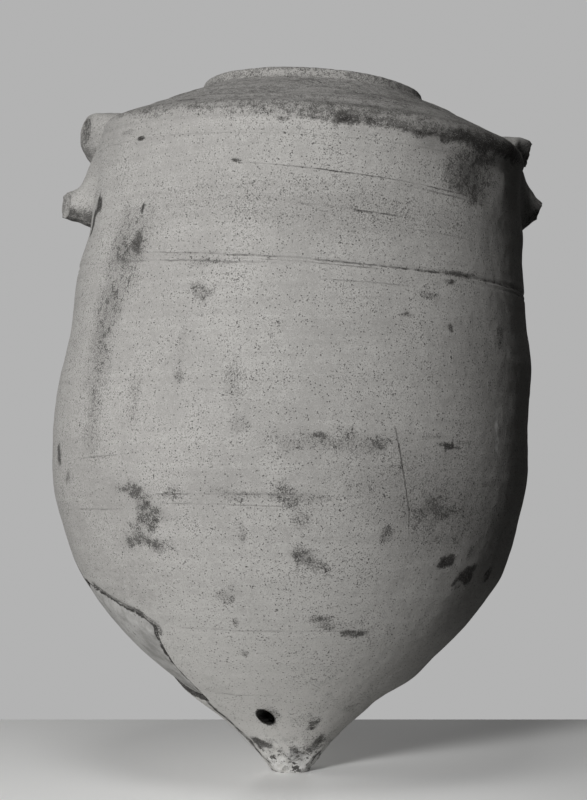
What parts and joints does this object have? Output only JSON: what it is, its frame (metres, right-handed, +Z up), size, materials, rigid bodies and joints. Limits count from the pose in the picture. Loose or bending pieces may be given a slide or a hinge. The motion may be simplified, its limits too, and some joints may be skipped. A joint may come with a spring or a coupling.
{
  "type": "storage jar",
  "caption": "Tall coil-built clay storage jar with a domed shoulder, low everted rim, broken handle roots, a cone-shaped lower body with a drain hole, and a small flat foot.",
  "frame": {"origin": "centre of the foot's flat underside, which stands on the floor", "axes": "+Z up the lower body's axis, -Y towards the front seen in the picture, +X to the right in the picture, the way the upper body leans"},
  "size_m": [0.7263, 0.699, 1.0135],
  "materials": {
    "fired_clay": "rough",
    "restored_fill": "matte"
  },
  "bodies": {
    "root": {"foot_knob": "fired_clay", "drain_ring": "fired_clay", "cone_ring": "fired_clay", "haunch_ring": "fired_clay", "lower_belly_ring": "fired_clay", "upper_belly_ring": "fired_clay", "first_wall_ring": "fired_clay", "second_wall_ring": "fired_clay", "third_wall_ring": "fired_clay", "top_wall_ring": "fired_clay", "shoulder": "fired_clay", "rim": "fired_clay", "left_handle_upper_root": "fired_clay", "left_handle_lower_root": "fired_clay", "right_handle_upper_root": "fired_clay", "right_handle_lower_root": "fired_clay", "restored_patch": "restored_fill"}
  },
  "joints": []
}
